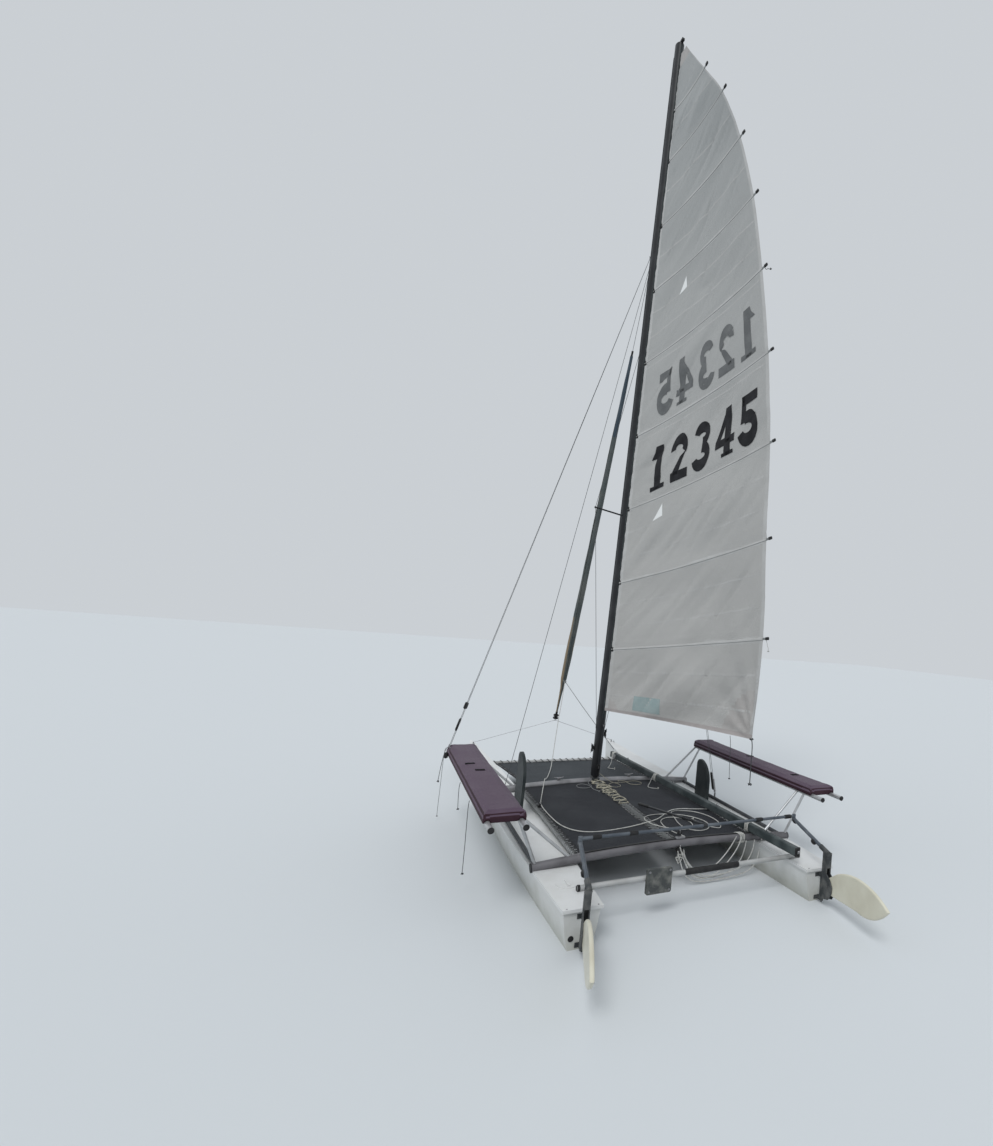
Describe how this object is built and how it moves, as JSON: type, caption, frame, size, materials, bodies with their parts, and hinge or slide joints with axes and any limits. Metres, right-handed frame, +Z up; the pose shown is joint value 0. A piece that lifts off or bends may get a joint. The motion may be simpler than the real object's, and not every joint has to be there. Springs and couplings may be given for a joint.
{
  "type": "beach catamaran",
  "caption": "Beach catamaran with wing seats, full-battened mainsail, rolled headsail, daggerboards and kick-up rudders.",
  "frame": {"origin": "on the floor under the middle of the boat: the lowest level of the keels, midway between the hulls, and halfway from the bow tips to the ends of the kicked-up rudder blades", "axes": "+X forward to the bows, +Y to port, +Z up; the mast stands along +Z"},
  "size_m": [6.41, 3.202, 9.1402],
  "materials": {
    "hull_gelcoat": "white gelcoat, dulled",
    "dark_tube": "dark grey",
    "beam_alloy": "anodised, weathered",
    "strut_alloy": "satin",
    "seat_cover": "maroon coated cloth",
    "black_plastic": "moulded",
    "mesh_cloth": "woven charcoal mesh",
    "mast_black": "black anodised",
    "boom_grey": "dark grey, worn",
    "sail_cloth": "creased laminate",
    "jib_cloth": "rolled cloth with a dark strip",
    "board_paint": "dark grey-green",
    "blade_cream": "cream, satin",
    "cast_alloy": "dull casting",
    "tiller_alloy": "grey anodised",
    "stainless": "satin"
  },
  "bodies": {
    "root": {"board_collars": "black_plastic", "boom": "boom_grey", "bow_tube": "beam_alloy", "bridle_port": "stainless", "bridle_starboard": "stainless", "chainplates": "stainless", "deck_port": "hull_gelcoat", "deck_starboard": "hull_gelcoat", "deck_tube_port": "dark_tube", "deck_tube_starboard": "dark_tube", "end_caps": "black_plastic", "forestay": "stainless", "front_beam": "beam_alloy", "gudgeons": "stainless", "hull_port": "hull_gelcoat", "hull_starboard": "hull_gelcoat", "inspection_ports": "black_plastic", "jib_furled": "jib_cloth", "jib_furler": "black_plastic", "mast_step": "stainless", "motor_bracket": "cast_alloy", "rear_beam": "beam_alloy", "shroud_port": "stainless", "shroud_starboard": "stainless", "stay_shackles": "stainless", "stern_tube": "beam_alloy", "trampoline_bow": "mesh_cloth", "trampoline_main": "mesh_cloth", "trampoline_rails": "beam_alloy", "wing_frame_port": "strut_alloy", "wing_frame_starboard": "strut_alloy", "wing_seat_port": "seat_cover", "wing_seat_starboard": "seat_cover", "wing_struts_port": "strut_alloy", "wing_struts_starboard": "strut_alloy"},
    "mast": {"mast": "mast_black", "masthead": "mast_black", "hound_tang": "mast_black", "spreaders": "mast_black", "diamond_wires": "stainless"},
    "mainsail": {"mainsail": "sail_cloth", "battens": "sail_cloth"},
    "board_port": {"daggerboard_port": "board_paint"},
    "board_starboard": {"daggerboard_starboard": "board_paint"},
    "rudder_port": {"rudder_head_port": "cast_alloy", "tiller_arm_port": "tiller_alloy"},
    "rudder_starboard": {"rudder_head_starboard": "cast_alloy", "tiller_arm_starboard": "tiller_alloy"},
    "blade_port": {"rudder_blade_port": "blade_cream"},
    "blade_starboard": {"rudder_blade_starboard": "blade_cream"},
    "tiller_bar": {"tiller_crossbar": "tiller_alloy", "tiller_extension": "mast_black"}
  },
  "joints": [
    {"name": "sail_swing", "type": "hinge", "parent": "mast", "child": "mainsail", "pos_m": [0.5205, 0.01034, 1.34357], "axis": [-0.0838, 0.0131, 0.9964], "range_deg": [-31, 15]},
    {"name": "mast_turn", "type": "hinge", "parent": "root", "child": "mast", "pos_m": [0.653, 0, 0.562], "axis": [-0.0838, 0.0131, 0.9964], "range_deg": [-31, 15]},
    {"name": "rudder_steer_port", "type": "hinge", "parent": "root", "child": "rudder_port", "pos_m": [-2.347, 1.012, 0.3], "axis": [0, 0, 1], "range_deg": [-24, 46]},
    {"name": "rudder_steer_starboard", "type": "hinge", "parent": "root", "child": "rudder_starboard", "pos_m": [-2.347, -1.012, 0.3], "axis": [0, 0, 1], "range_deg": [-24, 46]},
    {"name": "crossbar_pivot", "type": "hinge", "parent": "rudder_port", "child": "tiller_bar", "pos_m": [-1.73839, 0.8937, 0.665], "axis": [0, 0, 1], "range_deg": [-46, 24]},
    {"name": "blade_kick_port", "type": "hinge", "parent": "rudder_port", "child": "blade_port", "pos_m": [-2.45132, 1.03995, 0.335], "axis": [0.2588, 0.9659, 0], "range_deg": [-97, 20]},
    {"name": "blade_kick_starboard", "type": "hinge", "parent": "rudder_starboard", "child": "blade_starboard", "pos_m": [-2.45419, -0.99884, 0.335], "axis": [0.1219, 0.9925, 0], "range_deg": [-97, 20]},
    {"name": "board_slide_port", "type": "slide", "parent": "root", "child": "board_port", "axis": [0, 0, -1], "range_m": [-0.08, 0.54]},
    {"name": "board_slide_starboard", "type": "slide", "parent": "root", "child": "board_starboard", "axis": [0, 0, -1], "range_m": [-0.15, 0.398]}
  ],
  "couplings": [
    {"joint": "mast_turn", "follows": "sail_swing", "ratio": 1},
    {"joint": "rudder_steer_starboard", "follows": "rudder_steer_port", "ratio": 1},
    {"joint": "crossbar_pivot", "follows": "rudder_steer_port", "ratio": -1}
  ]
}
